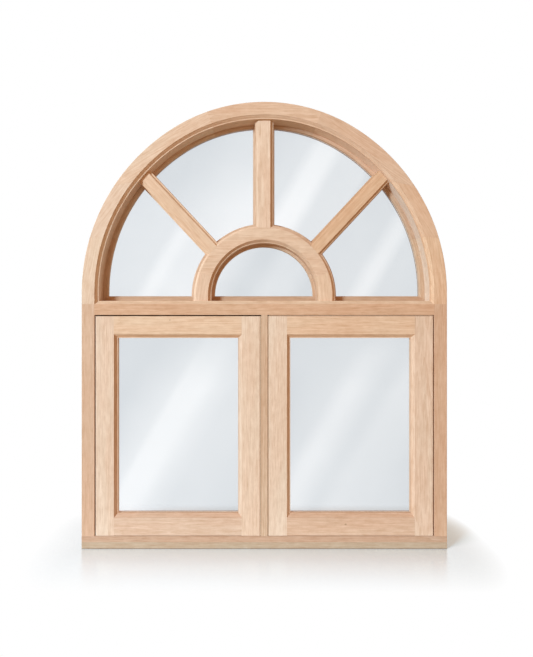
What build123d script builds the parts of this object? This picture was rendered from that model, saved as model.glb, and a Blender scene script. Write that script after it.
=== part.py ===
from build123d import *
import os
from math import atan2, cos, degrees, hypot, radians, sin, tan

# An arched timber window that stands on its sill. X runs to the right, Y runs back from the
# front face, Z runs up. The origin is the middle of the underside of the sill.

# Frame
frame_width = 1200.0
frame_depth = 115.0
jamb_face = 42.0
sill_height = 42.0
sill_slope = 7.0
transom_face = 35.5
mullion_face = 21.0
stop_width = 15.0
arris = 1.0

# Casement sashes
sash_height = 721.0
sash_thickness = 57.0
sash_flat = 60.0
sash_gap = 4.0
sash_sill_gap = 1.5
seat_gap = 0.3

# Arched head, struck from three centres
head_stilt = 35.5
side_centre_shift = 41.0
crown_centre_rise = 66.0

# Joints of the head: the angle on its side arc, and how far each leans from square
foot_joint_angle = 17.3
foot_joint_lean = -21.5
haunch_joint_angle = 35.3
haunch_joint_lean = -47.0
shoulder_joint_angle = 69.0
shoulder_joint_lean = 0.0

# Moulding on frame and sashes: a quirk, a flat ovolo and a lip. The rise is a share of its chord
quirk = 1.2
ovolo_rise = 0.037
frame_ovolo = 7.5
frame_lip = 3.5
sash_ovolo = 8.0
sash_lip = 3.5

# Fanlight. The arch of its stop is struck higher than the wall's by the lift, so that the stop
# narrows towards the crown
fan_stop_depth = 59.0
fan_stop_thickness = 13.0
fan_stop_width = 17.0
fan_stop_bevel = 4.0
fan_stop_lift = 8.0
fan_glass_cover = 12.0
bar_setback = 17.0
bar_face = 41.0
bar_ovolo = 7.0
bar_lip = 3.5
bar_stop = 5.0
ray_face = 33.0
ray_ovolo = 5.0
ray_lip = 4.0
ray_stop = 3.0
ray_angle = 47.0
hub_face = 40.0
hub_ovolo = 7.0
hub_lip = 3.5
hub_stop = 8.5
hub_radius = 206.5
hub_lift = 28.5
hub_joint_angle = 20.0

# Glass and its inner beads, which keep back from the edge of the stop in front
glass_thickness = 6.0
glass_play = 1.0
sash_glass_depth = 20.0
bead_depth = 12.0
bead_setback = 4.0
bead_chamfer = 4.0

# A bead's corner is looked at this share of the way along its edges. Edges that run straight on
# add up to less than the least turn, and the mitre's saw cut is this many glass covers long
corner_look = 0.01
least_turn = 0.5
mitre_reach = 4.0

# Levels and lines that follow from the sizes above
half_width = frame_width / 2
half_depth = frame_depth / 2
sash_stop_depth = sash_thickness + seat_gap
sash_bottom = sill_height + sash_sill_gap
sash_top = sash_bottom + sash_height
transom_bottom = sash_top + sash_gap
stop_top = transom_bottom - stop_width
jamb_top = transom_bottom + transom_face
springing = jamb_top + head_stilt
crown_level = springing + crown_centre_rise
jamb_line = half_width - jamb_face
sash_inner = mullion_face / 2 + sash_gap
sash_outer = jamb_line - sash_gap
sash_centre = (sash_inner + sash_outer) / 2
sash_width = sash_outer - sash_inner
glass_reach = sash_ovolo + sash_lip
wall_reach = frame_ovolo + frame_lip
stop_reach = wall_reach + fan_stop_width
rebate_reach = stop_reach - fan_glass_cover
fan_glass_depth = fan_stop_depth + fan_stop_thickness
pane_front = fan_glass_depth + seat_gap
pane_back = pane_front + glass_thickness
bar_back = pane_back + seat_gap + bead_depth
hub_centre = jamb_top + hub_lift
side_radius = half_width + side_centre_shift
crown_radius = side_radius - hypot(side_centre_shift, crown_centre_rise)
arc_change = degrees(atan2(crown_centre_rise, side_centre_shift))
bar_moulding = (bar_ovolo, bar_lip, bar_stop)
ray_moulding = (ray_ovolo, ray_lip, ray_stop)
hub_moulding = (hub_ovolo, hub_lip, hub_stop)

os.makedirs("parts", exist_ok=True)


def save(piece, name):
    """Label a finished piece and write it."""
    piece.label = name
    export_step(piece, f"parts/{name}.step")


def save_pair(right, name):
    """Write a right-hand piece and its left-hand twin."""
    save(right, f"{name}_right")
    save(mirror(right, about=Plane.YZ), f"{name}_left")


def cross_plane(x, z, across):
    """Plane square to a member: its x runs along across, its y back from the front face."""
    return Plane(origin=(x, -half_depth, z), x_dir=across, z_dir=Vector(across).cross(Vector(0, 1, 0)))


def front_plane(depth):
    """Upright plane facing the front, at a depth behind the front face."""
    return Plane.XZ.offset(half_depth - depth)


def moulded_face(plane, runs):
    """Section on a plane: runs of straight lines, each joined to the next by a flat ovolo."""
    with BuildSketch(plane) as section:
        with BuildLine():
            for run in runs:
                Polyline(*run)
            for run, following in zip(runs, runs[1:]):
                start, end = Vector(*run[-1]), Vector(*following[0])
                shallow, deep = sorted((start, end), key=lambda point: point.Y)
                chord = deep - shallow
                crown = (start + end) / 2 + Vector(chord.X, -chord.Y) * ovolo_rise
                ThreePointArc(start, crown, end)
        make_face()
    return section.sketch


def fan_wall(face, inward):
    """Points of the lip and the wall round the fanlight's opening."""
    lip_depth = quirk + frame_ovolo
    wall = face + inward * wall_reach
    return [(face + inward * frame_ovolo, lip_depth), (wall, lip_depth), (wall, fan_stop_depth)]


def fan_edge(face, inward):
    """Points round the fanlight's opening: lip, wall, bevelled stop and rebate."""
    stop = face + inward * stop_reach
    rebate = face + inward * rebate_reach
    return fan_wall(face, inward) + [
        (stop - inward * fan_stop_bevel, fan_stop_depth),
        (stop, fan_stop_depth + fan_stop_bevel),
        (stop, fan_glass_depth),
        (rebate, fan_glass_depth),
        (rebate, frame_depth),
    ]


def head_face(plane, edge, inward):
    """Section of the head from its outer edge inward, without its stop."""
    face = edge + inward * jamb_face
    front = [(edge, frame_depth), (edge, arris), (edge + inward * arris, 0), (face, 0), (face, quirk)]
    back = fan_wall(face, inward) + [(face, fan_stop_depth), (face, frame_depth), (edge, frame_depth)]
    return moulded_face(plane, [front, back])


def bar_half(middle, side, half_face, moulding):
    """Points of one side of a bar's section, from its face back to its tail."""
    ovolo, lip, stop = moulding
    reach = half_face + ovolo + lip
    web = reach + stop - fan_glass_cover
    lip_depth = bar_setback + quirk + ovolo
    face = [(half_face, bar_setback), (half_face, bar_setback + quirk)]
    tail = [
        (half_face + ovolo, lip_depth),
        (reach, lip_depth),
        (reach, fan_stop_depth),
        (reach + stop, fan_stop_depth),
        (reach + stop, fan_glass_depth),
        (web, fan_glass_depth),
        (web, bar_back),
    ]
    return [[(middle + side * across, depth) for across, depth in run] for run in (face, tail)]


def bar_section(plane, middle, face_width, moulding):
    """Section of a glazing bar: face, a moulding each side, stops and the web behind the glass."""
    left_face, left_tail = bar_half(middle, -1, face_width / 2, moulding)
    right_face, right_tail = bar_half(middle, 1, face_width / 2, moulding)
    runs = [left_tail[::-1], left_face[::-1] + right_face, right_tail + [left_tail[-1]]]
    return moulded_face(plane, runs)


def web_half(face_width, moulding):
    """Half the width of a bar behind the glass."""
    return face_width / 2 + sum(moulding) - fan_glass_cover


def arch_outline(inset, floor, lift):
    """Lines inside the head, a distance in from its outer edge, its arch lifted, closed at a level."""
    side = half_width - inset
    spring = springing + lift
    Line((side, floor), (side, spring))
    CenterArc((-side_centre_shift, spring), side_radius - inset, 0, arc_change)
    CenterArc((0, crown_level + lift), crown_radius - inset, arc_change, 180 - 2 * arc_change)
    CenterArc((side_centre_shift, spring), side_radius - inset, 180 - arc_change, arc_change)
    Line((-side, spring), (-side, floor))
    Line((-side, floor), (side, floor))


def arch_space(layers, clear, floor):
    """Space inside the head in layers back from the front, clear of its faces and open down to a floor."""
    with BuildPart() as space:
        for near, far, near_reach, far_reach, lift in layers:
            for depth, reach in ((near, near_reach), (far, far_reach)):
                with BuildSketch(front_plane(depth)):
                    with BuildLine():
                        arch_outline(jamb_face + reach + clear, floor + reach, lift)
                    make_face()
            loft(ruled=True)
    return space.part


def glazing_beads(outside, inside, cover):
    """Beads between two outlines on their back plane, bevelled to the room and mitred at each corner."""
    with BuildPart() as beads:
        extrude(outside, amount=bead_depth)
        extrude(inside, amount=bead_depth, mode=Mode.SUBTRACT)
        room_edges = beads.faces().sort_by(Axis.Y)[-1].inner_wires()[0].edges()
        chamfer(room_edges, bead_chamfer)
        for vertex in inside.vertices():
            corner = vertex.center()
            mitre = Vector(0, 0, 0)
            for edge in inside.edges().sort_by_distance(vertex)[:2]:
                ends = (edge @ corner_look, edge @ (1 - corner_look))
                beside = min(ends, key=lambda point: (point - corner).length)
                mitre += (beside - corner).normalized()
            if mitre.length > least_turn:
                with BuildSketch(Plane(origin=corner, x_dir=mitre, z_dir=(0, -1, 0))):
                    Rectangle(mitre_reach * cover, seat_gap)
                extrude(amount=bead_depth, mode=Mode.SUBTRACT)
    return beads.part


# Sill, with a weathered seat under the sashes and an upstand behind them
sill_rise = sash_stop_depth * tan(radians(sill_slope))
with BuildPart() as sill_block:
    with BuildSketch(cross_plane(half_width, 0, (0, 0, 1))):
        Polygon(
            (0, 0),
            (sill_height, 0),
            (sill_height + sill_rise, sash_stop_depth),
            (sill_height + sill_rise + stop_width, sash_stop_depth),
            (sill_height + sill_rise + stop_width, frame_depth),
            (0, frame_depth),
            align=None,
        )
    extrude(amount=frame_width)

with BuildPart() as sill:
    add(sill_block.part)
    front_edges = sill.faces().sort_by(Axis.Y)[0].edges().filter_by(Axis.X)
    chamfer(front_edges, arris)
save(sill.part, "sill")

# Jambs, notched over the sill, with a stop for the sash
with BuildPart() as jamb:
    with BuildSketch(cross_plane(0, 0, (1, 0, 0))):
        Polygon(
            (jamb_line, 0),
            (half_width - arris, 0),
            (half_width, arris),
            (half_width, frame_depth),
            (jamb_line, frame_depth),
            align=None,
        )
    extrude(amount=jamb_top)
    with BuildSketch(cross_plane(0, 0, (1, 0, 0))):
        Polygon(
            (jamb_line, sash_stop_depth),
            (jamb_line, frame_depth),
            (jamb_line - stop_width, frame_depth),
            (jamb_line - stop_width, sash_stop_depth),
            align=None,
        )
    extrude(amount=stop_top)
    add(sill_block.part, mode=Mode.SUBTRACT)
save_pair(jamb.part, "jamb")

# Mullion between the sashes, with a stop on both sides
mullion_back = mullion_face / 2 + stop_width
with BuildPart() as mullion:
    with BuildSketch(cross_plane(0, 0, (1, 0, 0))):
        Polygon(
            (-mullion_face / 2, 0),
            (mullion_face / 2, 0),
            (mullion_face / 2, sash_stop_depth),
            (-mullion_face / 2, sash_stop_depth),
            align=None,
        )
    extrude(amount=transom_bottom)
    with BuildSketch(cross_plane(0, 0, (1, 0, 0))):
        Polygon(
            (-mullion_back, sash_stop_depth),
            (mullion_back, sash_stop_depth),
            (mullion_back, frame_depth),
            (-mullion_back, frame_depth),
            align=None,
        )
    extrude(amount=stop_top)
    add(sill_block.part, mode=Mode.SUBTRACT)
save(mullion.part, "mullion")

# Transom between the jambs; its moulding meets the head's on a mitre
right_mitre = Plane(origin=(jamb_line, 0, jamb_top), z_dir=(1, 0, 1))
left_mitre = Plane(origin=(-jamb_line, 0, jamb_top), z_dir=(-1, 0, 1))
with BuildPart() as transom:
    front = [(stop_top, frame_depth), (stop_top, sash_stop_depth), (transom_bottom, sash_stop_depth)]
    front += [(transom_bottom, 0), (jamb_top, 0), (jamb_top, quirk)]
    back = fan_edge(jamb_top, 1) + [(stop_top, frame_depth)]
    extrude(moulded_face(cross_plane(jamb_line, 0, (0, 0, 1)), [front, back]), amount=2 * jamb_line)
    split(bisect_by=right_mitre, keep=Keep.BOTTOM)
    split(bisect_by=left_mitre, keep=Keep.BOTTOM)
save(transom.part, "transom")

# Stop of the head, with its rebate behind
bevel_depth = fan_stop_depth + fan_stop_bevel
wall_layer = (0, fan_stop_depth, wall_reach, wall_reach, 0)
stop_layers = [
    (fan_stop_depth, bevel_depth, stop_reach - fan_stop_bevel, stop_reach, fan_stop_lift),
    (bevel_depth, fan_glass_depth, stop_reach, stop_reach, fan_stop_lift),
    (fan_glass_depth, frame_depth, rebate_reach, rebate_reach, fan_stop_lift),
]
inside_stop = arch_space(stop_layers, 0, 0)
with BuildPart() as head_stop:
    with BuildSketch(front_plane(frame_depth)):
        with BuildLine():
            arch_outline(jamb_face / 2, jamb_top, 0)
        make_face()
    extrude(amount=frame_depth - fan_stop_depth)
    add(inside_stop, mode=Mode.SUBTRACT)

# Right half of the head: a short straight, the side arc and half of the crown arc
with BuildPart() as half_head:
    extrude(head_face(cross_plane(0, jamb_top, (1, 0, 0)), half_width, -1), amount=head_stilt)
    side_face = head_face(cross_plane(-side_centre_shift, springing, (1, 0, 0)), side_radius, -1)
    revolve(side_face, axis=Axis((-side_centre_shift, 0, springing), (0, -1, 0)), revolution_arc=arc_change)
    outward = (cos(radians(arc_change)), 0, sin(radians(arc_change)))
    crown_face = head_face(cross_plane(0, crown_level, outward), crown_radius, -1)
    revolve(crown_face, axis=Axis((0, 0, crown_level), (0, -1, 0)), revolution_arc=90 - arc_change)
    add(head_stop.part)
    split(bisect_by=Plane.YZ, keep=Keep.TOP)
    split(bisect_by=right_mitre, keep=Keep.TOP)


def head_joint(angle, lean):
    """Plane of a glued joint of the head, its normal pointing up along the arc."""
    middle = side_radius - jamb_face / 2
    x = middle * cos(radians(angle)) - side_centre_shift
    z = springing + middle * sin(radians(angle))
    turn = radians(angle + lean + 90)
    return Plane(origin=(x, 0, z), z_dir=(cos(turn), 0, sin(turn)))


foot_plane = head_joint(foot_joint_angle, foot_joint_lean)
haunch_plane = head_joint(haunch_joint_angle, haunch_joint_lean)
shoulder_plane = head_joint(shoulder_joint_angle, shoulder_joint_lean)

with BuildPart() as head_foot:
    add(half_head.part)
    split(bisect_by=foot_plane, keep=Keep.BOTTOM)
save_pair(head_foot.part, "head_foot")

with BuildPart() as head_haunch:
    add(half_head.part)
    split(bisect_by=foot_plane, keep=Keep.TOP)
    split(bisect_by=haunch_plane, keep=Keep.BOTTOM)
save_pair(head_haunch.part, "head_haunch")

with BuildPart() as head_shoulder:
    add(half_head.part)
    split(bisect_by=haunch_plane, keep=Keep.TOP)
    split(bisect_by=shoulder_plane, keep=Keep.BOTTOM)
save_pair(head_shoulder.part, "head_shoulder")

with BuildPart() as head_crown:
    add(half_head.part)
    split(bisect_by=shoulder_plane, keep=Keep.TOP)
    mirror(about=Plane.YZ)
save(head_crown.part, "head_crown")

# Space inside the head and above the transom, which the bars and the hub are scribed to
fan_space = arch_space([wall_layer] + stop_layers, seat_gap, jamb_top)

# Glazing bars: one upright and two raking, from the hub out to the head
hub_outer_face = hub_radius + hub_face / 2


def glazing_bar(angle, face_width, moulding):
    """A bar that runs out from the middle of the transom's top edge."""
    turn = radians(angle)
    with BuildPart() as bar:
        base = cross_plane(0, jamb_top, (sin(turn), 0, -cos(turn)))
        extrude(bar_section(base, 0, face_width, moulding), amount=frame_width)
        add(fan_space, mode=Mode.INTERSECT)
        with BuildSketch(front_plane(frame_depth)):
            with Locations((0, hub_centre)):
                Circle(hub_outer_face)
        extrude(amount=frame_depth, mode=Mode.SUBTRACT)
    return bar.part


bar_centre = glazing_bar(90, bar_face, bar_moulding)
bar_right = glazing_bar(ray_angle, ray_face, ray_moulding)
bar_left = mirror(bar_right, about=Plane.YZ)
save(bar_centre, "bar_centre")
save(bar_right, "bar_right")
save(bar_left, "bar_left")

# Hub: a half ring on two short legs that stand on the transom
with BuildPart() as hub:
    hub_base = cross_plane(0, hub_centre, (1, 0, 0))
    right_foot = bar_section(hub_base, hub_radius, hub_face, hub_moulding)
    left_foot = bar_section(hub_base, -hub_radius, hub_face, hub_moulding)
    revolve(right_foot, axis=Axis((0, 0, hub_centre), (0, -1, 0)), revolution_arc=180)
    extrude(right_foot, amount=-hub_lift)
    extrude(left_foot, amount=-hub_lift)
    add(fan_space, mode=Mode.INTERSECT)
    for bar in (bar_centre, bar_right, bar_left):
        add(bar, mode=Mode.SUBTRACT)

hub_turn = radians(hub_joint_angle)
hub_plane = Plane(
    origin=(hub_radius * cos(hub_turn), 0, hub_centre + hub_radius * sin(hub_turn)),
    z_dir=(-sin(hub_turn), 0, cos(hub_turn)),
)
with BuildPart() as hub_leg:
    add(hub.part)
    split(bisect_by=Plane.YZ, keep=Keep.TOP)
    split(bisect_by=hub_plane, keep=Keep.BOTTOM)
save_pair(hub_leg.part, "hub_leg")

with BuildPart() as hub_crown:
    add(hub.part)
    split(bisect_by=Plane.YZ, keep=Keep.TOP)
    split(bisect_by=hub_plane, keep=Keep.TOP)
    mirror(about=Plane.YZ)
save(hub_crown.part, "hub_crown")


# Fanlight glass and beads, between the rebates of head, transom, bars and hub
def light_areas(plane, clear):
    """The five glazed areas behind the stops, shrunk by a distance all round."""
    ring_web = web_half(hub_face, hub_moulding)
    outer = hub_radius + ring_web + clear
    inner = hub_radius - ring_web - clear
    floor = jamb_top + rebate_reach + clear
    below = hub_centre - floor
    bars = [(90, web_half(bar_face, bar_moulding))]
    bars += [(angle, web_half(ray_face, ray_moulding)) for angle in (ray_angle, 180 - ray_angle)]
    with BuildSketch(plane) as areas:
        with BuildLine():
            arch_outline(jamb_face + rebate_reach + clear, floor, fan_stop_lift)
        make_face()
        for angle, half in bars:
            with Locations(Location((0, jamb_top), angle)):
                across = 2 * (half + clear)
                Rectangle(frame_width, across, align=(Align.MIN, Align.CENTER), mode=Mode.SUBTRACT)
        with Locations((0, hub_centre)):
            Circle(outer, mode=Mode.SUBTRACT)
            Rectangle(2 * outer, below, align=(Align.CENTER, Align.MAX), mode=Mode.SUBTRACT)
            Circle(inner)
            Rectangle(2 * inner, inner, align=(Align.CENTER, Align.MAX), mode=Mode.SUBTRACT)
            Rectangle(2 * inner, below, align=(Align.CENTER, Align.MAX))
    return areas.sketch


light_names = ["outer_left", "inner_left", "hub", "inner_right", "outer_right"]
panes = light_areas(front_plane(pane_back), glass_play).faces().sort_by(Axis.X)
bead_outsides = light_areas(front_plane(bar_back), seat_gap).faces().sort_by(Axis.X)
bead_insides = light_areas(front_plane(bar_back), fan_glass_cover - bead_setback).faces().sort_by(Axis.X)
for name, pane_face, outside, inside in zip(light_names, panes, bead_outsides, bead_insides):
    with BuildPart() as pane:
        extrude(pane_face, amount=glass_thickness)
    save(pane.part, f"fan_pane_{name}")
    beads = glazing_beads(outside, inside, fan_glass_cover)
    save(beads, f"fan_beads_{name}")

# Casement sashes
flat_line = sash_outer - sash_flat
low_flat = sash_bottom + sash_flat
high_flat = sash_top - sash_flat
slope = radians(sill_slope)
sash_floor = Plane(origin=(0, -half_depth, sash_bottom), z_dir=(0, -sin(slope), cos(slope)))
low_mitre = Plane(origin=(flat_line, 0, low_flat), z_dir=(1, 0, 1))
high_mitre = Plane(origin=(flat_line, 0, high_flat), z_dir=(1, 0, -1))
sash_middle = Plane.YZ.offset(sash_centre)


def edge_runs(flat, inward):
    """Moulding of a sash member, from the edge of its flat face to the back of the glass stop."""
    ovolo = flat + inward * sash_ovolo
    nib = flat + inward * glass_reach
    lip_depth = quirk + sash_ovolo
    front = [(flat, 0), (flat, quirk)]
    back = [(ovolo, lip_depth), (nib, lip_depth), (nib, sash_glass_depth), (flat, sash_glass_depth)]
    return front, back


# Stile: the moulded edge is mitred to the rails' and the flat runs from end to end
with BuildPart() as stile:
    front, back = edge_runs(flat_line, -1)
    inner_line = [back[-1], front[-1]]
    extrude(moulded_face(cross_plane(0, sash_bottom, (1, 0, 0)), [inner_line, back]), amount=sash_height)
    split(bisect_by=low_mitre, keep=Keep.TOP)
    split(bisect_by=high_mitre, keep=Keep.TOP)
    with BuildSketch(cross_plane(0, sash_bottom, (1, 0, 0))):
        Polygon(
            (flat_line, 0),
            (sash_outer - arris, 0),
            (sash_outer, arris),
            (sash_outer, sash_thickness),
            (flat_line, sash_thickness),
            align=None,
        )
    extrude(amount=sash_height)
    split(bisect_by=sash_floor, keep=Keep.TOP)
hinge_stile = stile.part
meeting_stile = mirror(hinge_stile, about=sash_middle)
save_pair(hinge_stile, "sash_outer_stile")
save_pair(meeting_stile, "sash_meeting_stile")

rail_length = 2 * (flat_line - sash_centre)
mirrored_low = Plane(origin=(2 * sash_centre - flat_line, 0, low_flat), z_dir=(-1, 0, 1))
mirrored_high = Plane(origin=(2 * sash_centre - flat_line, 0, high_flat), z_dir=(-1, 0, -1))
with BuildPart() as bottom_rail:
    front, back = edge_runs(low_flat, 1)
    tail = [(low_flat, sash_thickness), (sash_bottom, sash_thickness), (sash_bottom, arris)]
    tail += [(sash_bottom + arris, 0), (low_flat, 0)]
    extrude(moulded_face(cross_plane(flat_line, 0, (0, 0, 1)), [front, back + tail]), amount=rail_length)
    split(bisect_by=sash_floor, keep=Keep.TOP)
    split(bisect_by=low_mitre, keep=Keep.BOTTOM)
    split(bisect_by=mirrored_low, keep=Keep.BOTTOM)
save_pair(bottom_rail.part, "sash_bottom_rail")

with BuildPart() as top_rail:
    front, back = edge_runs(high_flat, -1)
    tail = [(high_flat, sash_thickness), (sash_top, sash_thickness), (sash_top, arris)]
    tail += [(sash_top - arris, 0), (high_flat, 0)]
    extrude(moulded_face(cross_plane(flat_line, 0, (0, 0, 1)), [front, back + tail]), amount=rail_length)
    split(bisect_by=high_mitre, keep=Keep.BOTTOM)
    split(bisect_by=mirrored_high, keep=Keep.BOTTOM)
save_pair(top_rail.part, "sash_top_rail")

# Sash glass and its four mitred beads
rebate_width = sash_width - 2 * sash_flat
rebate_height = sash_height - 2 * sash_flat
sash_middle_height = (sash_bottom + sash_top) / 2
sash_pane_back = sash_glass_depth + seat_gap + glass_thickness
with BuildPart() as sash_pane:
    with BuildSketch(front_plane(sash_pane_back)):
        with Locations((sash_centre, sash_middle_height)):
            Rectangle(rebate_width - 2 * glass_play, rebate_height - 2 * glass_play)
    extrude(amount=glass_thickness)
save_pair(sash_pane.part, "sash_pane")


def sash_opening(clear):
    """The sash's rebate at the back of its beads, shrunk by a distance all round."""
    with BuildSketch(front_plane(sash_pane_back + seat_gap + bead_depth)) as opening:
        with Locations((sash_centre, sash_middle_height)):
            Rectangle(rebate_width - 2 * clear, rebate_height - 2 * clear)
    return opening.sketch


sash_bead_inside = sash_opening(glass_reach - bead_setback)
sash_beads = glazing_beads(sash_opening(seat_gap), sash_bead_inside, glass_reach)
save_pair(sash_beads, "sash_beads")
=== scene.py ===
import math
import random
import bpy
from mathutils import Matrix, Vector


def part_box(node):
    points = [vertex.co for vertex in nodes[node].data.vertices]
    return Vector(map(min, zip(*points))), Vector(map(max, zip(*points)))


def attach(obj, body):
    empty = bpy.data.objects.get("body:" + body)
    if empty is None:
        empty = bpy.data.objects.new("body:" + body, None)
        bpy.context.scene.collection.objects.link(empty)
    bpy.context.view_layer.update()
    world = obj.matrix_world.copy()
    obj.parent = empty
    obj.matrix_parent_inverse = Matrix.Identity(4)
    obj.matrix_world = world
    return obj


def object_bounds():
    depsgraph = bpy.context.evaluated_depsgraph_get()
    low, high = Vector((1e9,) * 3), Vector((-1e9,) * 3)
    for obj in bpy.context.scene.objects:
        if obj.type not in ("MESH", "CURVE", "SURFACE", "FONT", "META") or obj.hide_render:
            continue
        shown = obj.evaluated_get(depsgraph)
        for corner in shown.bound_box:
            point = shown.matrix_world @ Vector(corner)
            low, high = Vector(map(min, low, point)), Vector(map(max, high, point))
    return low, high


# An arched timber window on a pale studio floor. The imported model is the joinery. This script gives each
# member its own piece of timber, and adds the glazing's small parts, the floor and the light.

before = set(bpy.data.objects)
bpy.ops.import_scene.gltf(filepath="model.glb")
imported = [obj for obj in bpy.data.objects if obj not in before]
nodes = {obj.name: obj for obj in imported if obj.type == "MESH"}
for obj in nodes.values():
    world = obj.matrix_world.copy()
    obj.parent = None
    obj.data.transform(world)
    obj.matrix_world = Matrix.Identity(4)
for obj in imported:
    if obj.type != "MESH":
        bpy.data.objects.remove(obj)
cad_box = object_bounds()
panes = [node for node in nodes if "pane" in node]

# Camera: its place in metres from the window, and its lens and shift in the picture's pixels
picture_height = 657
focal_pixels = 487.3
aim_left_pixels = 17.4
aim_up_pixels = 15.5
sensor_side = 36.0
camera_distance = 1.600
camera_across = -0.050
camera_height = 0.775

# Lamps: degrees of turn to the left of the front and of rise over level, side, power and colour
window_middle = (0.0, 0.0, 0.75)
lamp_distance = 11.0
key_light = {"turn": 45, "rise": 15, "side": 2.4, "power": 1530.0, "color": (0.5784, 0.8137, 1.0)}
floor_light = {"turn": 60, "rise": 15, "side": 3.2, "power": 1300.0, "color": (1.0, 0.78, 0.84)}
back_light = {"turn": 205, "rise": 25, "side": 3.0, "power": 800.0, "color": (0.80, 0.92, 1.0)}

# Room, and the light that it and the far floor throw on the window
white = (1.0, 1.0, 1.0, 1.0)
room_strength = 0.56
room_tint = (1.0, 0.62, 0.37, 1.0)
bounce_strength = 0.46
bounce_tint = (1.0, 0.75, 0.50, 1.0)

# Floor: its matt colour, the lift that keeps it pale, and how far shadow and gloss reach from the window
floor_half = 14.0
floor_color = (0.77, 0.92, 0.96, 1.0)
lift_color = (0.69, 0.96, 1.0, 1.0)
lift_strength = 0.03
shadow_reach = 0.25
shadow_curve = 2.0
side_fade = 1.65
gloss_reach = 0.28
gloss_share = 0.50
gloss_roughness = 0.2


def make_node(tree, kind, inputs=None, **settings):
    """Put a node in a tree. An input takes a plain value or another node's output."""
    made = tree.nodes.new(kind)
    for name, value in settings.items():
        setattr(made, name, value)
    for socket, value in (inputs or {}).items():
        if isinstance(value, bpy.types.NodeSocket):
            tree.links.new(value, made.inputs[socket])
        else:
            made.inputs[socket].default_value = value
    return made


def calc(tree, operation, *values):
    """Output of a sum on numbers or on other outputs."""
    return make_node(tree, "ShaderNodeMath", dict(enumerate(values)), operation=operation).outputs[0]


def vector_calc(tree, operation, *values):
    """Output of a sum on vectors or on other outputs. A length or a dot product is a number."""
    made = make_node(tree, "ShaderNodeVectorMath", dict(enumerate(values)), operation=operation)
    return made.outputs["Value" if operation in ("LENGTH", "DOT_PRODUCT") else "Vector"]


def spread(tree, value, low, high, to_low, to_high):
    """A value moved from one range to another, held at its ends."""
    inputs = {"Value": value, "From Min": low, "From Max": high, "To Min": to_low, "To Max": to_high}
    return make_node(tree, "ShaderNodeMapRange", inputs).outputs["Result"]


def blend(tree, share, first, second, blend_type="MIX"):
    """First colour with a share of the second, or of its product with the second for MULTIPLY."""
    inputs = {0: share, 6: first, 7: second}
    return make_node(tree, "ShaderNodeMix", inputs, data_type="RGBA", blend_type=blend_type).outputs[2]


def tone(red, green, blue):
    """A colour given as it looks on a screen, 0 to 255, made into the linear values that shaders take."""
    levels = [level / 255 for level in (red, green, blue)]
    return [((level + 0.055) / 1.055) ** 2.4 for level in levels] + [1.0]


def noise(tree, vector, scale, detail, roughness=0.5, distortion=0.0):
    """Even noise, 0 to 1, with spots of about 1 / scale in metres."""
    inputs = {
        "Vector": vector,
        "Scale": scale,
        "Detail": detail,
        "Roughness": roughness,
        "Distortion": distortion,
    }
    return make_node(tree, "ShaderNodeTexNoise", inputs).outputs["Fac"]


def stretched_noise(tree, vector, length, width, detail, roughness=0.5, distortion=0.0):
    """Noise drawn out along the grain: its spots are about length by width, in metres."""
    drawn = vector_calc(tree, "MULTIPLY", vector, (1 / length, 1 / width, 1 / width))
    return noise(tree, drawn, 1.0, detail, roughness, distortion)


def own_place(tree):
    """Places on the piece itself, in metres."""
    return make_node(tree, "ShaderNodeTexCoord").outputs["Object"]


def part_of(tree, vector, axis):
    """One axis of a vector."""
    return make_node(tree, "ShaderNodeSeparateXYZ", {0: vector}).outputs[axis]


def new_finish(name):
    """Material with an empty node tree."""
    material = bpy.data.materials.new(name)
    material.use_nodes = True
    material.node_tree.nodes.clear()
    return material


def end_finish(tree, inputs):
    """End a material's tree with its shader."""
    surface = make_node(tree, "ShaderNodeBsdfPrincipled", inputs).outputs[0]
    make_node(tree, "ShaderNodeOutputMaterial", {"Surface": surface})


def new_group(name, kind, inputs, outputs):
    """Node group with named sockets, each given with its kind. Returns its tree and what it is given."""
    tree = bpy.data.node_groups.new(name, kind)
    for way, sockets in (("INPUT", inputs), ("OUTPUT", outputs)):
        for socket, socket_kind in sockets.items():
            tree.interface.new_socket(socket, in_out=way, socket_type=f"NodeSocket{socket_kind}")
    return tree, tree.nodes.new("NodeGroupInput").outputs


def dress(node, material):
    """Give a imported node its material."""
    piece = nodes[node]
    piece.data.materials.clear()
    piece.data.materials.append(material)


def bent_rings(tree, vector):
    """Growth rings round the heart of the tree, bent a little by slow waves along the board."""
    ring_pitch = 0.0042
    bend = 0.03
    wave_turns = 20
    wander = stretched_noise(tree, vector, 0.55, 0.05, 2.0)
    shift = calc(tree, "MULTIPLY", calc(tree, "SUBTRACT", wander, 0.5), bend)
    inputs = {
        "Vector": vector_calc(tree, "ADD", vector, shift),
        "Scale": 2 * math.pi / (wave_turns * ring_pitch),
        "Distortion": 1.4,
        "Detail": 2.0,
        "Detail Scale": 0.25,
    }
    shape = {"wave_type": "RINGS", "rings_direction": "X", "wave_profile": "SAW"}
    return make_node(tree, "ShaderNodeTexWave", inputs, **shape).outputs["Fac"]


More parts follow.
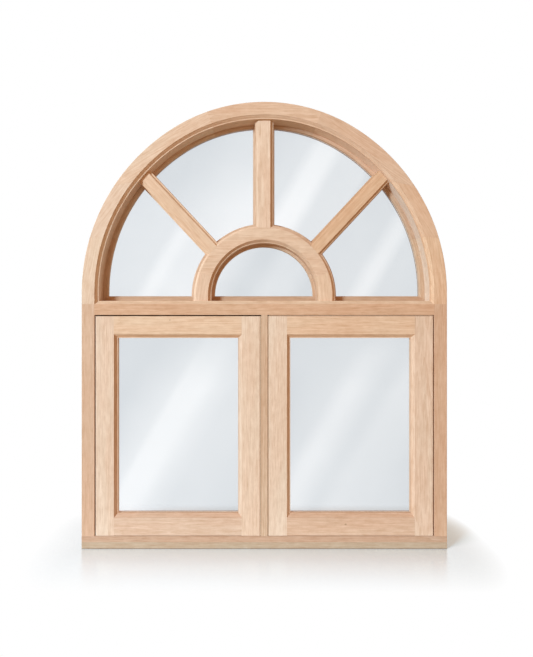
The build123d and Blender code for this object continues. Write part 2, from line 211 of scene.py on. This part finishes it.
def make_grain():
    """Node group of planed timber: X runs along the grain, and the X axis is the heart of the tree."""
    given_kinds = {"Vector": "Vector", "Tone": "Color", "Figure": "Float"}
    made_kinds = {"Color": "Color", "Roughness": "Float", "Height": "Float"}
    tree, given = new_group("planed_timber", "ShaderNodeTree", given_kinds, made_kinds)
    vector = given["Vector"]

    # Marks in the wood, from the broadest to the finest, by their length, width and detail
    rings = bent_rings(tree, vector)
    patches = stretched_noise(tree, vector, 0.30, 0.050, 2.0)
    mottle = stretched_noise(tree, vector, 0.028, 0.014, 2.0)
    streaks = stretched_noise(tree, vector, 0.065, 0.0040, 3.0, 0.6)
    fibres = stretched_noise(tree, vector, 0.022, 0.0011, 3.0, 0.6)
    pores = spread(tree, stretched_noise(tree, vector, 0.0060, 0.00045, 1.0), 0.62, 0.70, 0.0, 1.0)

    # How deep the wood's colour is: each mark adds its share
    depth_reach = 0.9
    pore_share = 0.35
    depth = calc(tree, "MULTIPLY", calc(tree, "SUBTRACT", rings, 0.5), given["Figure"])
    for mark, share in ((patches, 0.6), (mottle, 0.8), (streaks, 1.7), (fibres, 0.9)):
        depth = calc(tree, "MULTIPLY_ADD", calc(tree, "SUBTRACT", mark, 0.5), share, depth)
    depth = calc(tree, "MULTIPLY_ADD", pores, pore_share, depth)
    level = spread(tree, depth, -depth_reach, depth_reach, 0.0, 1.0)

    # Multiples of the board's tone for its palest wood, its deepest and its rosy parts
    pale_wood = (1.14, 1.18, 1.22, 1.0)
    deep_wood = (0.74, 0.62, 0.52, 1.0)
    rosy_wood = (1.04, 0.95, 0.92, 1.0)
    rosy_share = 0.35
    color = blend(tree, 1.0, given["Tone"], blend(tree, level, pale_wood, deep_wood), "MULTIPLY")
    rosy_parts = stretched_noise(tree, vector, 0.30, 0.045, 1.0, distortion=0.4)
    color = blend(tree, spread(tree, rosy_parts, 0.40, 0.65, 0.0, rosy_share), color, rosy_wood, "MULTIPLY")

    # Relief: the fibres stand up, the rings a little, and the pores sink in
    pore_rise = -0.8
    ring_rise = 0.25
    height = calc(tree, "MULTIPLY_ADD", pores, pore_rise, fibres)
    height = calc(tree, "MULTIPLY_ADD", rings, ring_rise, height)

    smoothest = 0.62
    roughest = 0.78
    roughness = spread(tree, fibres, 0.3, 0.7, smoothest, roughest)
    make_node(tree, "NodeGroupOutput", {"Color": color, "Roughness": roughness, "Height": height})
    return tree


# Distances behind a member's front face over which painted light and shade come in, at its mould, its wall
# and its stop
sash_mould = (0.0007, 0.0030)
bar_mould = (0.0007, 0.0035)
side_wall = (0.0115, 0.0145)
back_stop = (0.0555, 0.0585)

# Painted light and shade: multiples of the tone behind those distances, above 1 where a mould or wall is
# painted lit and below 1 where it is painted shaded, as all back stops are; a member takes the first entry
# that its name begins with
painted_light_and_shade = {
    "bar_left": {bar_mould: (1.02, 1.03, 1.03)},
    "bar_": {bar_mould: (0.85, 0.82, 0.79)},
    "hub_": {bar_mould: (0.85, 0.82, 0.79)},
    "sash_outer_stile_left": {sash_mould: (0.92, 0.83, 0.76)},
    "sash_top_rail_left": {sash_mould: (0.92, 0.83, 0.76)},
    "sash_meeting_stile_left": {sash_mould: (0.90, 0.89, 0.89)},
    "sash_": {sash_mould: (0.96, 0.92, 0.89)},
    "transom": {sash_mould: (1.07, 1.23, 1.33), back_stop: (0.76, 0.68, 0.64)},
    "head_foot_left": {side_wall: (0.86, 0.86, 0.87), back_stop: (0.85, 0.81, 0.78)},
    "head_haunch_left": {side_wall: (0.86, 0.86, 0.87), back_stop: (0.85, 0.81, 0.78)},
    "head_foot_right": {side_wall: (1.06, 1.24, 1.47), back_stop: (0.75, 0.65, 0.56)},
    "head_haunch_right": {side_wall: (1.06, 1.24, 1.47), back_stop: (0.75, 0.65, 0.56)},
    "head_shoulder_right": {side_wall: (1.16, 1.24, 1.32), back_stop: (0.80, 0.72, 0.66)},
    "": {side_wall: (1.0, 1.07, 1.13), back_stop: (0.83, 0.77, 0.73)},
}

# Pin knots: where they lie on a member, seen from the front, and their radius
knots = {
    "sash_bottom_rail_right": [((0.267, 0.0, 0.081), 0.0035)],
    "sash_top_rail_left": [((-0.31, 0.0, 0.752), 0.0022)],
}
knot_brown = (0.36, 0.20, 0.10, 1.0)
knot_shape = (0.7, 0.0, 1.0)
knot_core = 0.3
knot_strength = 0.75

# Painted contact shade along the sill's foot, dark brown, and the heights between which it fades
painted_shade_brown = (0.16, 0.10, 0.06, 1.0)
painted_shade_strength = 0.6
painted_shade_low = 0.0018
painted_shade_high = 0.0036

# Planed surface: how far its edges are eased, and how strongly the grain shows in relief
edge_radius = 0.0008
relief_strength = 0.35
relief_height = 0.0004
timber_shine = 0.1


def facing_in(tree, place):
    """1 where a surface looks to the front or into the window, and 0 on its outer edges and its back: the
    faces that take painted light and shade.
    """
    outward = 0.1
    backward = 0.5
    normal = make_node(tree, "ShaderNodeNewGeometry").outputs["Normal"]
    spoke = vector_calc(tree, "SUBTRACT", place, window_middle)
    spoke = vector_calc(tree, "MULTIPLY", spoke, (1.0, 0.0, 1.0))
    not_outer = calc(tree, "LESS_THAN", vector_calc(tree, "DOT_PRODUCT", normal, spoke), outward)
    not_back = calc(tree, "LESS_THAN", part_of(tree, normal, "Y"), backward)
    return calc(tree, "MULTIPLY", not_outer, not_back)


def with_painted_light_and_shade(tree, node, place, color):
    """A member's colour with painted light and shade on its moulded edge, its side wall and its back stop."""
    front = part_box(node)[0].y
    inside = facing_in(tree, place)
    level = part_of(tree, place, "Y")
    tones = next(painted_light_and_shade[start] for start in painted_light_and_shade if node.startswith(start))
    for (near, far), multiple in tones.items():
        behind = spread(tree, level, front + near, front + far, 0.0, 1.0)
        share = calc(tree, "MULTIPLY", inside, behind)
        # Painted light or shade: the colour multiplied on the inner faces behind each depth
        color = blend(tree, share, color, (*multiple, 1.0), "MULTIPLY")
    return color


def with_knots(tree, node, place, color):
    """A member's colour with its pin knots, a little longer along the rail."""
    for spot, radius in knots.get(node, ()):
        apart = vector_calc(tree, "SUBTRACT", place, spot)
        apart = vector_calc(tree, "LENGTH", vector_calc(tree, "MULTIPLY", apart, knot_shape))
        share = spread(tree, apart, radius * knot_core, radius, knot_strength, 0.0)
        color = blend(tree, share, color, knot_brown)
    return color


grain = make_grain()
dice = random.Random(41)


def timber(node, color, lean, heart, figure, upper_board=None):
    """Material of one member, by its grain's lean from level and the place of its tree's heart beside it.

    A second board glued on top is given as the height of the joint and the board's colour.
    """
    material = new_finish(f"timber_{node}")
    tree = material.node_tree
    low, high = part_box(node)
    middle = Matrix.Rotation(lean, 3, "Y") @ ((low + high) / 2)
    offset = Vector((dice.uniform(3, 9), *heart)) - middle
    place = own_place(tree)
    turned = {"Vector": place, "Location": offset, "Rotation": (0, lean, 0)}
    vector = make_node(tree, "ShaderNodeMapping", turned).outputs[0]
    height = part_of(tree, place, "Z")
    if upper_board:
        joint, upper_color = upper_board
        above = calc(tree, "GREATER_THAN", height, joint)
        color = blend(tree, above, color, upper_color)
        vector = vector_calc(tree, "ADD", vector, calc(tree, "MULTIPLY", above, board_step))
    given = {"Vector": vector, "Tone": color, "Figure": figure}
    wood = make_node(tree, "ShaderNodeGroup", given, node_tree=grain).outputs
    color = with_painted_light_and_shade(tree, node, place, wood["Color"])
    if upper_board:
        # Painted contact shade darkens the foot of a two-board sill
        foot_shade = spread(tree, height, painted_shade_low, painted_shade_high, painted_shade_strength, 0.0)
        color = blend(tree, foot_shade, color, painted_shade_brown)
    color = with_knots(tree, node, place, color)
    relief = {
        "Strength": relief_strength,
        "Distance": relief_height,
        "Height": wood["Height"],
        "Normal": make_node(tree, "ShaderNodeBevel", {"Radius": edge_radius}, samples=4).outputs[0],
    }
    inputs = {
        "Base Color": color,
        "Roughness": wood["Roughness"],
        "Specular IOR Level": timber_shine,
        "Normal": make_node(tree, "ShaderNodeBump", relief).outputs[0],
    }
    end_finish(tree, inputs)
    return material


# Each member's tone, as a screen shows it in even light, and its grain's lean from level, in degrees
boards = {
    "jamb_left": ((220, 183, 153), 90),
    "jamb_right": ((220, 180, 148), 90),
    "mullion": ((218, 184, 153), 90),
    "transom": ((222, 180, 146), 0),
    "head_crown": ((228, 191, 160), 0),
    "head_shoulder_left": ((233, 201, 172), 30),
    "head_shoulder_right": ((226, 190, 160), -34),
    "head_haunch_left": ((235, 207, 181), 52),
    "head_haunch_right": ((227, 188, 155), -58),
    "head_foot_left": ((233, 203, 175), 80),
    "head_foot_right": ((231, 192, 157), -82),
    "hub_crown": ((231, 197, 167), 0),
    "hub_leg_left": ((235, 202, 173), 84),
    "hub_leg_right": ((232, 196, 164), -84),
    "bar_centre": ((237, 206, 178), 90),
    "bar_left": ((233, 198, 166), -47),
    "bar_right": ((226, 186, 150), 47),
    "sash_outer_stile_left": ((235, 207, 181), 90),
    "sash_meeting_stile_left": ((237, 208, 181), 90),
    "sash_top_rail_left": ((236, 203, 171), 0),
    "sash_bottom_rail_left": ((226, 194, 167), 0),
    "sash_meeting_stile_right": ((237, 210, 184), 90),
    "sash_outer_stile_right": ((234, 204, 177), 90),
    "sash_top_rail_right": ((233, 197, 164), 0),
    "sash_bottom_rail_right": ((224, 189, 160), 0),
}
for node, (color, lean) in boards.items():
    heart = (dice.choice((-1, 1)) * dice.uniform(0.03, 0.07), dice.uniform(-0.09, 0.09))
    figure = dice.uniform(0.2, 0.4)
    dress(node, timber(node, tone(*color), math.radians(lean), heart, figure))

# Sill of two boards: a greyish one with a rosier one glued on top, whose grain goes on from another place
board_step = 1.7
lower_color = tone(195, 170, 143)
upper_board = (0.0225, tone(204, 168, 140))
sill_wood = timber("sill", lower_color, lean=0.0, heart=(0.05, 0.03), figure=0.6, upper_board=upper_board)
dress("sill", sill_wood)

# Glazing beads
for node in nodes:
    if "beads" in node:
        lean = math.radians(90) if node.startswith("sash") else 0.0
        dress(node, timber(node, tone(231, 197, 167), lean, heart=(0.05, 0.05), figure=0.4))

# Glass: its grey, its roughness, and how much of it is seen where it is dark and in a painted band of
# reflected light
glass_grey = (0.125, 0.21, 0.28, 1.0)
glass_roughness = 0.04
plain_cover = 0.205
band_cover = 0.14
waver_size = 0.02
# Strength of the faint clouds of painted light over the glass
painted_cloud_light = 0.10
band_slant = math.radians(30)

# Painted bands of reflected light, in metres across their slant: left line, right line, soft rise, soft fall,
# and level
bands = {
    "sash_pane_left": [
        (-0.65, -0.345, 0.12, 0.10, 0.34),
        (-0.53, -0.345, 0.025, 0.10, 0.28),
        (-0.40, -0.12, 0.06, 0.14, 0.19),
    ],
    "sash_pane_right": [
        (-0.17, 0.34, 0.10, 0.12, 0.13),
        (-0.065, 0.070, 0.045, 0.065, 0.27),
        (0.09, 0.26, 0.04, 0.14, 0.12),
    ],
    "fan_pane_outer_left": [
        (-1.25, -0.55, 0.15, 0.02, 0.21),
        (-0.81, -0.55, 0.04, 0.02, 0.20),
        (-0.80, -0.725, 0.03, 0.03, 0.15),
    ],
    "fan_pane_inner_left": [(-0.87, -0.40, 0.24, 0.03, 0.54)],
    "fan_pane_inner_right": [(-0.68, -0.30, 0.12, 0.03, 0.24), (-0.545, -0.42, 0.04, 0.04, 0.44)],
    "fan_pane_outer_right": [(-0.50, 0.10, 0.05, 0.15, 0.12), (-0.178, -0.085, 0.04, 0.035, 0.34)],
    "fan_pane_hub": [(-0.70, -0.50, 0.05, 0.10, 0.36), (-0.47, -0.31, 0.05, 0.05, 0.15)],
}

# How the painted bands of light fade towards a pane's top: the heights between which they do, and their
# strength above
fades = {
    "sash_pane_left": (0.52, 0.68, 0.40),
    "sash_pane_right": (0.52, 0.68, 0.25),
    "fan_pane_outer_left": (0.92, 1.16, 0.80),
    "fan_pane_inner_left": (1.13, 1.36, 0.40),
    "fan_pane_inner_right": (1.13, 1.36, 0.75),
    "fan_pane_outer_right": (0.95, 1.20, 0.60),
}


def painted_light_band(tree, across, left, right, rise, fall, level):
    """Soft painted band of reflected light between two lines across the glass: its left edge rises and its
    right edge falls.
    """
    up = spread(tree, across, left, left + rise, 0.0, level)
    down = spread(tree, across, right - fall, right, 1.0, 0.0)
    return calc(tree, "MULTIPLY", up, down)


def glass(node):
    """Clear float glass, faintly grey, with painted reflections: soft slanting bands of light and faint
    clouds of it.
    """
    material = new_finish(node.replace("pane", "glass"))
    tree = material.node_tree
    place = own_place(tree)
    slant = (math.cos(band_slant), 0.0, -math.sin(band_slant))
    waver = calc(tree, "SUBTRACT", noise(tree, place, scale=2.2, detail=1.0), 0.5)
    across = vector_calc(tree, "DOT_PRODUCT", place, slant)
    across = calc(tree, "MULTIPLY_ADD", waver, waver_size, across)
    # Painted reflected light, 0 to 1: it pales the glass towards white and lets more of what is behind show
    light = 0.0
    for band in bands[node]:
        light = calc(tree, "ADD", light, painted_light_band(tree, across, *band))
    if node in fades:
        low, high, above = fades[node]
        fade = spread(tree, part_of(tree, place, "Z"), low, high, 1.0, above)
        light = calc(tree, "MULTIPLY", light, fade)
    painted_cloud = spread(tree, noise(tree, place, scale=4.0, detail=2.0), 0.45, 0.75, 0.0, painted_cloud_light)
    light = make_node(tree, "ShaderNodeClamp", {0: calc(tree, "ADD", light, painted_cloud)}).outputs[0]
    inputs = {
        "Base Color": blend(tree, light, glass_grey, white),
        "Roughness": glass_roughness,
        "Alpha": spread(tree, light, 0.0, 1.0, plain_cover, band_cover),
    }
    end_finish(tree, inputs)
    return material


for node in panes:
    dress(node, glass(node))

# Glazing's small parts: bedding along the sight lines, pins in the beads, and seals in the joints
glass_play = 0.001
fan_cover = 0.012
sash_cover = 0.0115
bedding_radius = 0.0009
bedding_sides = 6
pin_inset = 0.0012
pin_spacing = 0.115
pin_radius = 0.0008
pin_height = 0.0005
pin_sides = 10
joint_width = 0.004
seal_width = 0.0039
seal_depth = 0.0012
top_seal_back = 0.0024


def ring_of(items):
    """Each item of a closed ring with the next one."""
    return zip(items, items[1:] + items[:1])


def pane_outline(node):
    """Corners of a flat pane's outline, in order, read from its front face."""
    same_level = 0.00001
    places = 6
    mesh = nodes[node].data
    front = min(vertex.co.y for vertex in mesh.vertices)

    # An edge that two triangles share is met once each way, and drops out
    edges = {}
    for polygon in mesh.polygons:
        corners = [mesh.vertices[index].co for index in polygon.vertices]
        if max(corner.y for corner in corners) - front < same_level:
            spots = [(round(corner.x, places), round(corner.z, places)) for corner in corners]
            for start, end in ring_of(spots):
                if start in edges.get(end, ()):
                    edges[end].remove(start)
                else:
                    edges.setdefault(start, []).append(end)

    rim = {start: ends[0] for start, ends in edges.items() if ends}
    spot = next(iter(rim))
    outline = []
    while spot in rim:
        outline.append(Vector(spot))
        spot = rim.pop(spot)
    return outline


def moved_in(outline, distance):
    """The outline moved inwards by a distance, with its corners kept sharp."""
    area = sum(start.cross(end) for start, end in ring_of(outline))
    side = math.copysign(distance, area)
    inner = []
    for before, corner, after in zip(outline[-1:] + outline[:-1], outline, outline[1:] + outline[:1]):
        arriving = (corner - before).normalized()
        leaving = (after - corner).normalized()
        first = Vector((-arriving.y, arriving.x))
        second = Vector((-leaving.y, leaving.x))
        inner.append(corner + (first + second) * side / (1 + first.dot(second)))
    return inner


def path_object(name, lines, closed=True):
    """Object of lines, each a list of corners seen from the front and the level back at which it lies."""
    points = []
    edges = []
    for corners, level in lines:
        first = len(points)
        count = len(corners)
        points += [(corner.x, level, corner.y) for corner in corners]
        for index in range(count if closed else count - 1):
            edges.append((first + index, first + (index + 1) % count))
    mesh = bpy.data.meshes.new(name)
    mesh.from_pydata(points, edges, [])
    path = bpy.data.objects.new(name, mesh)
    bpy.context.scene.collection.objects.link(path)
    return path


def new_tool(name, sizes):
    """Geometry tool with named sizes. Returns its tree, the curve of its lines and its inputs."""
    inputs = {"Geometry": "Geometry", **{size: "Float" for size in sizes}, "Material": "Material"}
    tree, given = new_group(name, "GeometryNodeTree", inputs, {"Geometry": "Geometry"})
    line = make_node(tree, "GeometryNodeMeshToCurve", {"Mesh": given["Geometry"]}).outputs[0]
    return tree, line, given


def end_tool(tree, geometry, material):
    """End a geometry tool: real geometry in one material."""
    real = make_node(tree, "GeometryNodeRealizeInstances", {0: geometry}).outputs[0]
    coated = make_node(tree, "GeometryNodeSetMaterial", {"Geometry": real, "Material": material}).outputs[0]
    make_node(tree, "NodeGroupOutput", {"Geometry": coated})
    return tree


def bedding_tool():
    """Thin round bead of bedding that follows each line."""
    tree, line, given = new_tool("glazing_bedding", ["Radius"])
    size = {"Resolution": bedding_sides, "Radius": given["Radius"]}
    profile = make_node(tree, "GeometryNodeCurvePrimitiveCircle", size).outputs[0]
    bead = make_node(tree, "GeometryNodeCurveToMesh", {"Curve": line, "Profile Curve": profile}).outputs[0]
    return end_tool(tree, bead, given["Material"])


def seal_tool():
    """Square strip of draught seal that follows each line, closed at its ends."""
    tree, line, given = new_tool("draught_seals", ["Width"])
    size = {"Width": given["Width"], "Height": given["Width"]}
    profile = make_node(tree, "GeometryNodeCurvePrimitiveQuadrilateral", size).outputs[0]
    inputs = {"Curve": line, "Profile Curve": profile, "Fill Caps": True}
    strip = make_node(tree, "GeometryNodeCurveToMesh", inputs).outputs[0]
    return end_tool(tree, strip, given["Material"])


def pin_tool():
    """Flat pin heads at even spaces along each line, turned to the room."""
    tree, line, given = new_tool("bead_pins", ["Spacing", "Head Radius", "Head Height"])
    spaced = {"Curve": line, "Length": given["Spacing"]}
    spots = make_node(tree, "GeometryNodeResampleCurve", spaced, mode="LENGTH").outputs[0]
    size = {"Vertices": pin_sides, "Radius": given["Head Radius"], "Depth": given["Head Height"]}
    head = make_node(tree, "GeometryNodeMeshCylinder", size).outputs["Mesh"]
    inputs = {"Points": spots, "Instance": head, "Rotation": (math.radians(90), 0, 0)}
    heads = make_node(tree, "GeometryNodeInstanceOnPoints", inputs).outputs[0]
    return end_tool(tree, heads, given["Material"])


def make_with(path, tool, name, values):
    """Run a geometry tool on a path and keep the result as a plain piece of the window."""
    modifier = path.modifiers.new(name, "NODES")
    modifier.node_group = tool
    for item in tool.interface.items_tree:
        if item.in_out == "INPUT" and item.name in values:
            modifier[item.identifier] = values[item.name]
    evaluated = path.evaluated_get(bpy.context.evaluated_depsgraph_get())
    mesh = bpy.data.meshes.new_from_object(evaluated)
    path.modifiers.clear()
    piece = bpy.data.objects.new(name, mesh)
    bpy.context.scene.collection.objects.link(piece)
    bpy.data.objects.remove(path)
    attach(piece, "root")
    return piece


def plain_finish(name, color, roughness, metallic=0.0):
    """Small part's finish, with a fine mottle in its colour and its roughness."""
    material = new_finish(name)
    tree = material.node_tree
    dust_brown = (0.30, 0.24, 0.18, 1.0)
    dust_share = 0.3
    dust_roughness = 0.15
    mottle = noise(tree, own_place(tree), scale=160.0, detail=3.0)
    inputs = {
        "Base Color": blend(tree, spread(tree, mottle, 0.3, 0.7, 0.0, dust_share), color, dust_brown),
        "Roughness": spread(tree, mottle, 0.3, 0.7, roughness, roughness + dust_roughness),
        "Metallic": metallic,
    }
    end_finish(tree, inputs)
    return material


def make_bedding():
    """Bead of bedding along each pane's sight line, on the front of the glass."""
    lines = []
    for node in panes:
        cover = sash_cover if node.startswith("sash") else fan_cover
        lines.append((moved_in(pane_outline(node), cover - glass_play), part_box(node)[0].y))
    putty = plain_finish("putty", tone(224, 205, 182), 0.6)
    values = {"Radius": bedding_radius, "Material": putty}
    return make_with(path_object("bedding_lines", lines), bedding_tool(), "glazing_bedding", values)


def make_pins():
    """Pins through each pane's beads, with their heads on the room side."""
    lines = []
    for node in panes:
        room_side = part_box(node.replace("pane", "beads"))[1].y
        lines.append((moved_in(pane_outline(node), pin_inset), room_side))
    steel = plain_finish("pin_steel", tone(150, 148, 144), 0.4, 1.0)
    values = {"Spacing": pin_spacing, "Head Radius": pin_radius, "Head Height": pin_height, "Material": steel}
    return make_with(path_object("pin_lines", lines), pin_tool(), "bead_pins", values)


def make_seals():
    """Draught seals in the joints beside the mullion and over the right sash."""
    left_low, left_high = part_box("sash_meeting_stile_left")
    right_low, right_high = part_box("sash_meeting_stile_right")
    far_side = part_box("sash_outer_stile_right")[1].x
    level = left_low.y + seal_depth + seal_width / 2
    lines = []
    for side in (left_high.x + joint_width / 2, right_low.x - joint_width / 2):
        lines.append(([Vector((side, left_low.z)), Vector((side, left_high.z))], level))
    above = right_high.z + joint_width / 2
    lines.append(([Vector((right_low.x, above)), Vector((far_side, above))], level + top_seal_back))
    path = path_object("seal_lines", lines, closed=False)
    brown = plain_finish("draught_seal", tone(206, 170, 138), 0.7)
    return make_with(path, seal_tool(), "draught_seals", {"Width": seal_width, "Material": brown})


small_parts = [make_bedding(), make_pins(), make_seals()]


def seen_white(tree):
    """1 for the rays that show the white room: the camera's own, and those mirrored or seen through glass."""
    rays = make_node(tree, "ShaderNodeLightPath").outputs
    mirrored = calc(tree, "MAXIMUM", rays["Is Glossy Ray"], rays["Is Transmission Ray"])
    return calc(tree, "MAXIMUM", rays["Is Camera Ray"], mirrored)


def room_inputs(tree, tint, strength):
    """Full white where the room is seen, and a tinted light of lower strength where it only lights things."""
    seen = seen_white(tree)
    return {"Color": blend(tree, seen, tint, white), "Strength": spread(tree, seen, 0.0, 1.0, strength, 1.0)}


def floor_finish():
    """White floor, glossy by the window, that keeps its shadow and fades into the white room."""
    material = new_finish("white_floor")
    tree = material.node_tree

    # Distance away from the window's foot, which counts for more at the sides
    foot = (cad_box[1][0], cad_box[1][1], 0.0)
    beyond = vector_calc(tree, "SUBTRACT", vector_calc(tree, "ABSOLUTE", own_place(tree)), foot)
    beyond = vector_calc(tree, "MAXIMUM", beyond, (0.0, 0.0, 0.0))
    away = vector_calc(tree, "LENGTH", vector_calc(tree, "MULTIPLY", beyond, (side_fade, 1.0, 1.0)))

    matt = make_node(tree, "ShaderNodeBsdfDiffuse", {"Color": floor_color}).outputs[0]
    lift_inputs = {"Color": lift_color, "Strength": calc(tree, "MULTIPLY", seen_white(tree), lift_strength)}
    lift = make_node(tree, "ShaderNodeEmission", lift_inputs).outputs[0]
    lifted = make_node(tree, "ShaderNodeAddShader", {0: matt, 1: lift}).outputs[0]
    gloss = make_node(tree, "ShaderNodeBsdfGlossy", {"Roughness": gloss_roughness}).outputs[0]
    share = spread(tree, away, 0.0, gloss_reach, gloss_share, 0.0)
    near_floor = make_node(tree, "ShaderNodeMixShader", {0: share, 1: lifted, 2: gloss}).outputs[0]
    far_inputs = room_inputs(tree, bounce_tint, bounce_strength)
    far_floor = make_node(tree, "ShaderNodeEmission", far_inputs).outputs[0]
    far = calc(tree, "POWER", spread(tree, away, 0.0, shadow_reach, 0.0, 1.0), shadow_curve)
    surface = make_node(tree, "ShaderNodeMixShader", {0: far, 1: near_floor, 2: far_floor}).outputs[0]
    make_node(tree, "ShaderNodeOutputMaterial", {"Surface": surface})
    return material


def make_floor():
    """Large square studio floor."""
    half = floor_half
    corners = [(-half, -half, 0), (half, -half, 0), (half, half, 0), (-half, half, 0)]
    mesh = bpy.data.meshes.new("studio_floor")
    mesh.from_pydata(corners, [], [(0, 1, 2, 3)])
    mesh.materials.append(floor_finish())
    floor = bpy.data.objects.new("studio_floor", mesh)
    bpy.context.scene.collection.objects.link(floor)
    return floor


def make_room():
    """White room all round, with a low warm light on the window."""
    world = bpy.data.worlds.new("studio")
    world.use_nodes = True
    tree = world.node_tree
    tree.nodes.clear()
    sky = make_node(tree, "ShaderNodeBackground", room_inputs(tree, room_tint, room_strength)).outputs[0]
    make_node(tree, "ShaderNodeOutputWorld", {"Surface": sky})
    bpy.context.scene.world = world


def gather(name, pieces):
    """Collection of pieces for a lamp to light."""
    collection = bpy.data.collections.new(name)
    for piece in pieces:
        collection.objects.link(piece)
    return collection


def make_lamp(name, receivers, turn, rise, side, power, color):
    """Square soft box turned to the window's middle, which lights only the pieces of a collection."""
    lamp = bpy.data.lights.new(name, "AREA")
    lamp.size = side
    lamp.energy = power
    lamp.color = color
    holder = bpy.data.objects.new(name, lamp)
    forward = math.cos(math.radians(rise))
    left = math.sin(math.radians(turn)) * forward
    front = math.cos(math.radians(turn)) * forward
    away = Vector((-left, -front, math.sin(math.radians(rise))))
    holder.location = Vector(window_middle) + away * lamp_distance
    holder.rotation_euler = (-away).to_track_quat("-Z", "Y").to_euler()
    holder.light_linking.receiver_collection = receivers
    bpy.context.scene.collection.objects.link(holder)
    return holder


def make_lamps(floor):
    """Key light, its twin for the glass, a clear light on the floor, and a soft light behind the window."""
    glass_pieces = [nodes[node] for node in panes]
    timber_pieces = [nodes[node] for node in nodes if node not in panes]
    ground = gather("ground", [floor])
    solid_parts = gather("solid_parts", timber_pieces + small_parts + [floor])
    make_lamp("key", solid_parts, **key_light)

    # Clear glass shows no shadow of the frame, so only the floor stops the light of its twin
    glass_lamp = make_lamp("glass", gather("glass", glass_pieces), **key_light)
    glass_lamp.light_linking.blocker_collection = ground

    window = gather("window", timber_pieces + glass_pieces + small_parts)
    floor_lamp = make_lamp("floor", ground, **floor_light)
    back_lamp = make_lamp("back", window, **back_light)
    for lamp in (floor_lamp, back_lamp):
        lamp.visible_glossy = False


def make_camera():
    """Camera square to the window, with the photograph's lens and framing."""
    camera = bpy.data.cameras.new("camera")
    camera.sensor_width = sensor_side
    camera.lens = focal_pixels / picture_height * sensor_side
    camera.shift_x = aim_left_pixels / picture_height
    camera.shift_y = -aim_up_pixels / picture_height
    holder = bpy.data.objects.new("camera", camera)
    front = cad_box[0][1]
    holder.location = (camera_across, front - camera_distance, camera_height)
    holder.rotation_euler = (math.radians(90), 0, 0)
    bpy.context.scene.collection.objects.link(holder)
    bpy.context.scene.camera = holder


make_lamps(make_floor())
make_room()
make_camera()
bpy.context.scene.view_settings.view_transform = "Standard"
